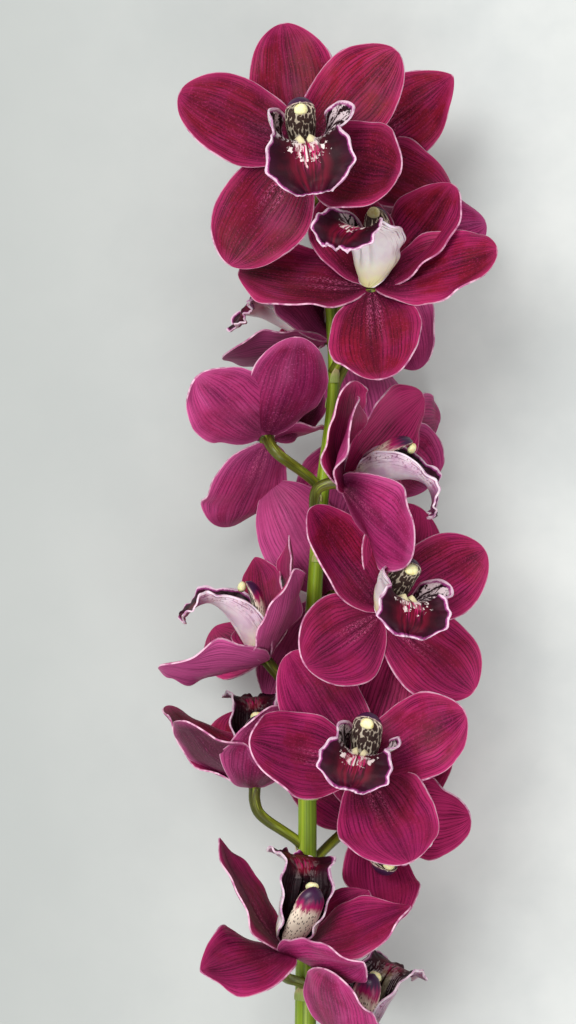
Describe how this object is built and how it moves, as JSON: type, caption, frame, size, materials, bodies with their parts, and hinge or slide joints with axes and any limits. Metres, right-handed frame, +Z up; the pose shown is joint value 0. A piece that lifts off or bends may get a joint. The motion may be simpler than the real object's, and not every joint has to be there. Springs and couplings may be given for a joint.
{
  "type": "cymbidium orchid stem",
  "caption": "Cut cymbidium orchid spike lying on its petals, with crowded burgundy flowers along a green stem.",
  "frame": {"origin": "centre of the bounding box, at the surface the stem lies on", "axes": "+Y along the stem towards its tip, +Z up, where the flowers that show best look"},
  "size_m": [0.1597, 0.6836, 0.1448],
  "materials": {
    "stem": "smooth waxy green stem",
    "tepal": "satin waxy burgundy petals, fine darker veins",
    "lip": "velvety dark maroon lip with white streaks and a pale ruffled edge",
    "column": "waxy cream column with maroon spots"
  },
  "bodies": {
    "root": {"spike": "stem", "bloom_01_tepals": "tepal", "bloom_01_lip": "lip", "bloom_01_column": "column", "bloom_02_tepals": "tepal", "bloom_02_lip": "lip", "bloom_02_column": "column", "bloom_03_tepals": "tepal", "bloom_03_lip": "lip", "bloom_03_column": "column", "bloom_04_tepals": "tepal", "bloom_04_lip": "lip", "bloom_04_column": "column", "bloom_05_tepals": "tepal", "bloom_05_lip": "lip", "bloom_05_column": "column", "bloom_06_tepals": "tepal", "bloom_06_lip": "lip", "bloom_06_column": "column", "bloom_07_tepals": "tepal", "bloom_07_lip": "lip", "bloom_07_column": "column", "bloom_08_tepals": "tepal", "bloom_08_lip": "lip", "bloom_08_column": "column", "bloom_09_tepals": "tepal", "bloom_09_lip": "lip", "bloom_09_column": "column", "bloom_10_tepals": "tepal", "bloom_10_lip": "lip", "bloom_10_column": "column", "bloom_11_tepals": "tepal", "bloom_11_lip": "lip", "bloom_11_column": "column", "bloom_12_tepals": "tepal", "bloom_12_lip": "lip", "bloom_12_column": "column", "bloom_13_tepals": "tepal", "bloom_13_lip": "lip", "bloom_13_column": "column", "bloom_14_tepals": "tepal", "bloom_14_lip": "lip", "bloom_14_column": "column", "bloom_15_tepals": "tepal", "bloom_15_lip": "lip", "bloom_15_column": "column", "bloom_16_tepals": "tepal", "bloom_16_lip": "lip", "bloom_16_column": "column"}
  },
  "joints": []
}
